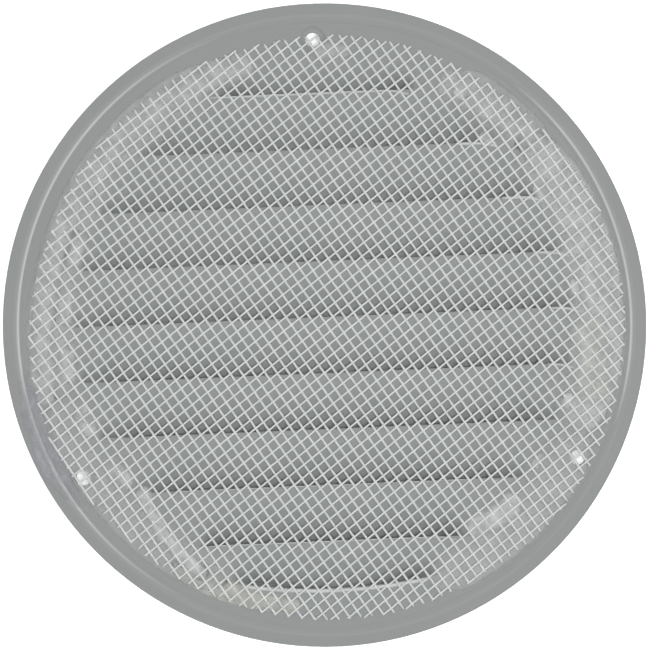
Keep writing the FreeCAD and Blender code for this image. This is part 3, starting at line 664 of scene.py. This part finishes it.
def insect_mesh(material):
    """Every thread of the mesh, woven and cut off at the hand-cut edge."""
    points, faces = [], []
    count = int(OUTER_RADIUS / WARP["pitch"]) + SPARE_THREADS
    for number in range(-count, count + 1):
        warp_line = thread_line(
            lambda k: crossing(number, k),
            lambda k: MESH_MIDDLE + THREAD_LIFT + THREAD_WAVE * math.cos(math.pi * (number + k)))
        weft_line = thread_line(
            lambda k: crossing(k, number),
            lambda k: MESH_MIDDLE - THREAD_LIFT - THREAD_WAVE * math.cos(math.pi * (number + k)))
        for line, family in ((warp_line, WARP), (weft_line, WEFT)):
            if line:
                add_tube(line, family["radius"], points, faces)
    piece = add_piece("insect_mesh_threads", points, faces, material)
    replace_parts(piece, "insect_mesh")


def add_patch(name, rows, columns, upper, lower, depth, material):
    """A closed lump or film of glue: an upper and a lower skin over one grid, joined round the edge.

    depth is 1 where the glue is at its thickest and 0 where it runs out.
    """
    points = [skin(i / rows, j / columns) for skin in (upper, lower)
              for i in range(rows + 1) for j in range(columns + 1)]
    wide = columns + 1
    under = (rows + 1) * wide
    faces = []
    for i in range(rows):
        for j in range(columns):
            a = i * wide + j
            quad = (a, a + wide, a + wide + 1, a + 1)
            faces.append(quad)
            faces.append(tuple(under + k for k in reversed(quad)))
    for j in range(columns):
        faces.append((j, j + 1, under + j + 1, under + j))
        a = rows * wide + j
        faces.append((a + 1, a, under + a, under + a + 1))
    for i in range(rows):
        a = i * wide
        faces.append((a + wide, a, under + a, under + a + wide))
        b = a + columns
        faces.append((b, b + wide, under + b + wide, under + b))
    piece = add_piece(name, points, faces, material)
    values = [depth(i / rows, j / columns) for i in range(rows + 1) for j in range(columns + 1)]
    piece.data.attributes.new("glue_depth", "FLOAT", "POINT").data.foreach_set("value", values * 2)
    return piece


def ruffle(x, y, size, seed):
    """Smooth noise from about -1 to 1 over the back face."""
    return noise.noise(Vector((x / size, y / size, seed * SEED_STEP)))


def glue_middle(places, share):
    """A place on a glue run's middle line, as angle and radius, at a share of its length."""
    (a0, i0), (a1, i1), (a2, i2) = places
    angle = a0 + (a2 - a0) * share
    bend0 = (angle - a1) * (angle - a2) / ((a0 - a1) * (a0 - a2))
    bend1 = (angle - a0) * (angle - a2) / ((a1 - a0) * (a1 - a2))
    bend2 = (angle - a0) * (angle - a1) / ((a2 - a0) * (a2 - a1))
    return angle, RECESS_RADIUS - (i0 * bend0 + i1 * bend1 + i2 * bend2)


def glue_run(name, seed, places, width, height, material):
    """One run, blob or dab of glue, soaked round the threads, with an uneven edge and a lumpy top."""
    first, last = places[0][0], places[-1][0]
    length = abs(math.radians(last - first)) * (RECESS_RADIUS - places[1][1]) + width
    ends = width / 2 / length
    rows = max(RUN_FEWEST_ROWS, int(length / RUN_STEP))

    def spot(share, side):
        """A point of the run, from side -1 to 1, and how wide the run is there, from about 0 at its ends to 1."""
        along = (share - ends) / (1 - 2 * ends)
        angle, radius = glue_middle(places, clamp(along))
        past = (share - clamp(share, ends, 1 - ends)) * length
        narrow = math.sqrt(max(1 - (2 * past / width) ** 2, RUN_TIP))
        turn = math.radians(angle) + math.copysign(1, last - first) * past / radius
        outwards = Vector((math.cos(turn), math.sin(turn)))
        middle = outwards * radius
        wander = RUN_WANDER * ruffle(middle.x + side, middle.y, RUN_WANDER_SIZE, seed)
        half = width / 2 * narrow * (1 + wander)
        return outwards * (radius + half * side), narrow

    def upper(share, side):
        side = 2 * side - 1
        where, narrow = spot(share, side)
        swell = max(1 - side * side, 0.0) ** RUN_FULLNESS * narrow
        lumps = RUN_LEVEL + sum(lump * ruffle(where.x, where.y, size, seed) for lump, size in RUN_LUMPS)
        return where.x, where.y, GLUE_FOOT + RUN_SKIN + height * swell * lumps

    def lower(share, side):
        where = spot(share, 2 * side - 1)[0]
        return where.x, where.y, GLUE_FOOT

    def depth(share, side):
        narrow = spot(share, 2 * side - 1)[1]
        return min(1.0, RUN_DEEPENS * side * (1 - side)) * min(1.0, RUN_END_DEEPENS * narrow)

    return add_patch(name, rows, RUN_COLUMNS, upper, lower, depth, material)


def film_width(share, bluntness):
    """How wide a film is along its length, with rounded ends: 1 at its middle and nearly 0 at its ends."""
    return math.sqrt(max(1 - abs(2 * share - 1) ** bluntness, FILM_TIP))


def glue_film(name, seed, first, last, inner, outer, milkiness, material):
    """A thin film of glue pressed flat between the plate and the mesh."""
    def spot(share, side):
        turn = math.radians(first + (last - first) * share)
        wander = FILM_WANDER * ruffle(turn * FILM_WANDER_ALONG, side * FILM_WANDER_ACROSS, 1.0, seed)
        middle = (inner + outer) / 2 + wander
        radius = middle + (side - 0.5) * (outer - inner) * film_width(share, FILM_BLUNTNESS)
        return Vector((math.cos(turn), math.sin(turn))) * min(radius, outer)

    def upper(share, side):
        where = spot(share, side)
        uneven = FILM_UNEVEN * ruffle(where.x, where.y, FILM_UNEVEN_SIZE, seed)
        return where.x, where.y, GLUE_FOOT + FILM_HEIGHT * (1 + uneven)

    def lower(share, side):
        where = spot(share, side)
        return where.x, where.y, GLUE_FOOT

    def depth(share, side):
        where = spot(share, side)
        blotch = 1 + FILM_BLOTCH * ruffle(where.x, where.y, FILM_BLOTCH_SIZE, seed)
        return milkiness * clamp(FILM_DEEPENS * side * blotch) * clamp(FILM_END_DEEPENS * share * (1 - share))

    rows = int(math.radians(last - first) * outer / FILM_STEP)
    return add_patch(name, rows, FILM_COLUMNS, upper, lower, depth, material)


def plate_height(radius):
    """Height of the back of the plate at a radius: the recessed disc, the step and the ring."""
    return STEP_HEIGHT * clamp((radius - RECESS_RADIUS) / STEP_RUN)


def glue_smear(material):
    """A wrinkled smear of glue, thick in the corner of the recess and thin over the step and the ring."""
    def angle(share):
        return SMEAR_START + (SMEAR_END - SMEAR_START) * share

    def spot(share, side):
        turn = math.radians(angle(share))
        ends = film_width(share, SMEAR_BLUNTNESS)
        low = SMEAR_INNER + SMEAR_END_INSET * (1 - ends)
        reach = SMEAR_REACH + SMEAR_REACH_VARIES * ruffle(turn * SMEAR_REACH_ALONG, 0, 1.0, SMEAR_REACH_SEED)
        least = SMEAR_INNER + SMEAR_END_WIDTH
        high = least + (SMEAR_OUTER - least) * ends * reach
        return turn, low + (min(high, SMEAR_OUTER) - low) * side

    def upper(share, side):
        turn, radius = spot(share, side)
        stray = ruffle(turn * SMEAR_STRAY_ALONG, radius / SMEAR_STRAY_ACROSS, 1.0, SMEAR_STRAY_SEED)
        fold = 0.5 + 0.5 * math.sin(radius * SMEAR_FOLD_RATE + SMEAR_STRAY * stray)
        thick = SMEAR_SKIN + SMEAR_FOLD * fold * (1 - side / 2)
        return radius * math.cos(turn), radius * math.sin(turn), plate_height(radius) + GLUE_FOOT + thick

    def lower(share, side):
        turn, radius = spot(share, side)
        return radius * math.cos(turn), radius * math.sin(turn), plate_height(radius) + GLUE_FOOT

    def depth(share, side):
        away = (angle(share) - SMEAR_PATCH) / SMEAR_PATCH_SPREAD
        milkiness = SMEAR_REST + (1 - SMEAR_REST) * max(1 - away * away, 0.0)
        return milkiness * clamp(SMEAR_END_DEEPENS * share * (1 - share)) * clamp(SMEAR_EDGE_DEEPENS * (1 - side))

    piece = add_patch("glue_smear_film", SMEAR_ROWS, SMEAR_COLUMNS, upper, lower, depth, material)
    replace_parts(piece, "glue_smear_left")


def slit_edges(material):
    """The sheared edges below the slits, where they are turned up."""
    points, faces = [], []
    for row, first, last, roll in TURNED_EDGES:
        height = SLIT_TOP - SLIT_PITCH * row
        count = max(EDGE_FEWEST_STEPS, int((last - first) / EDGE_STEP))
        line = []
        for k in range(count + 1):
            x = first + (last - first) * k / count
            drop = EDGE_DROP * max((x - last) / EDGE_DROP_RUN + 1, 0.0) ** 2
            line.append((x, height - roll / 2 - drop, 0.0))
        add_tube(line, roll, points, faces)
    line = []
    for k in range(BOTTOM_EDGE_STEPS + 1):
        x = BOTTOM_EDGE_HALF * (2 * k / BOTTOM_EDGE_STEPS - 1)
        rise = BOTTOM_SLIT_RADIUS - math.sqrt(BOTTOM_SLIT_RADIUS ** 2 - x ** 2)
        line.append((x, BOTTOM_SLIT + rise - BOTTOM_EDGE_INSET, -BOTTOM_EDGE_SINK))
    add_tube(line, BOTTOM_EDGE_ROLL, points, faces)
    add_piece("slit_edges", points, faces, material)


def table_material():
    """White with a little painted glow round the cover and under its rim, and painted shade in grey under the
    cover.
    """
    material, shader = new_material("table_white_with_painted_shade", (TABLE_WHITE, TABLE_WHITE, TABLE_WHITE, 1.0), TABLE_ROUGHNESS)
    shader.inputs["Emission Color"].default_value = WHITE
    nodes, links = material.node_tree.nodes, material.node_tree.links
    place = nodes.new("ShaderNodeTexCoord")
    length = nodes.new("ShaderNodeVectorMath")
    length.operation = "LENGTH"
    links.new(place.outputs["Object"], length.inputs[0])
    radius = length.outputs["Value"]
    # Painted shade under the cover, and a painted glow round it and under its rim
    shade = add_range(material, radius, [at * MM for at in TABLE_SHADE_FADE], (TABLE_SHADE_GREY, TABLE_WHITE))
    glow = add_range(material, radius, [at * MM for at in TABLE_GLOW_FROM], (0.0, TABLE_GLOW))
    links.new(shade, shader.inputs["Base Color"])
    links.new(glow, shader.inputs["Emission Strength"])
    return material


def studio(floor_height):
    """A table under the cover, a lamp beside the camera, one on either side and a dim room."""
    bpy.ops.mesh.primitive_plane_add(size=TABLE_SIZE * MM, location=(0, 0, floor_height))
    table = bpy.context.object
    table.name = "white_table"
    table.data.materials.append(table_material())
    world = bpy.context.scene.world or bpy.data.worlds.new("soft_room")
    bpy.context.scene.world = world
    world.use_nodes = True
    world.node_tree.nodes["Background"].inputs["Color"].default_value = WHITE
    world.node_tree.nodes["Background"].inputs["Strength"].default_value = ROOM_LIGHT
    for name, (place, width, watts) in LAMPS.items():
        light = bpy.data.lights.new(name, "AREA")
        light.size = width
        light.energy = watts
        lamp = bpy.data.objects.new(name, light)
        lamp.location = place
        lamp.rotation_euler = (-Vector(place)).to_track_quat("-Z", "Y").to_euler()
        bpy.context.scene.collection.objects.link(lamp)


def look_from_above():
    """The camera, straight above the cover."""
    camera = bpy.data.cameras.new("picture")
    camera.lens = LENS
    camera.sensor_width = SENSOR
    eye = bpy.data.objects.new("picture", camera)
    turn = math.radians(-PICTURE_TURN)
    right, up = PICTURE_SHIFT
    height = PICTURE_SPAN / 2 / (SENSOR / 2 / LENS) + STEP_HEIGHT
    eye.location = (MM * (right * math.cos(turn) - up * math.sin(turn)),
                    MM * (right * math.sin(turn) + up * math.cos(turn)), MM * height)
    eye.rotation_euler = (0, 0, turn)
    bpy.context.scene.collection.objects.link(eye)
    bpy.context.scene.camera = eye


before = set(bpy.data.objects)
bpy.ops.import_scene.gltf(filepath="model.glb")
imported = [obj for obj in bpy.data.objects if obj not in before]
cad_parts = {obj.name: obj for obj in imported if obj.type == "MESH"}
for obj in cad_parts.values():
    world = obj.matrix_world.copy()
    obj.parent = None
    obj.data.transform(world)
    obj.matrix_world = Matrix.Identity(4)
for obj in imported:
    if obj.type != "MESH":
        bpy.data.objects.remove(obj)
cad_low, cad_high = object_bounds()

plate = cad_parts["louvre_plate"]
plate.data.materials.clear()
plate.data.materials.append(metal_material())
shade_bends_smooth(plate)

insect_mesh(yarn_material())
# The sheared edges' light colour is partly bare cut metal and partly a painted highlight
slit_edges(new_material("sheared_edge_bare_and_sheen", linear(*BARE_EDGE_AND_SHEEN_COLOUR), SHEARED_ROUGHNESS)[0])

glue = {name: glue_material(name, *look) for name, look in GLUE_LOOKS.items()}
for seed, (name, (*run, look)) in enumerate(GLUE_RUNS.items()):
    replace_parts(glue_run(name + "_set", seed, *run, glue[look]), name)
for number, (angle, inset) in enumerate(GLUE_SPECKS, start=1):
    places = [(angle + shift, inset) for shift in (-SPECK_SPREAD, 0.0, SPECK_SPREAD)]
    glue_run(f"glue_speck_{number}", number + SPECK_SEED, places, SPECK_WIDTH, SPECK_HEIGHT, glue["glue_milky"])
for seed, (name, (*film, look)) in enumerate(GLUE_FILMS.items(), start=FILM_SEED):
    glue_film(name, seed, *film, glue[look])
glue_smear(glue["glue_smear_film"])

studio(cad_low[2])
look_from_above()
bpy.context.scene.view_settings.view_transform = "Standard"
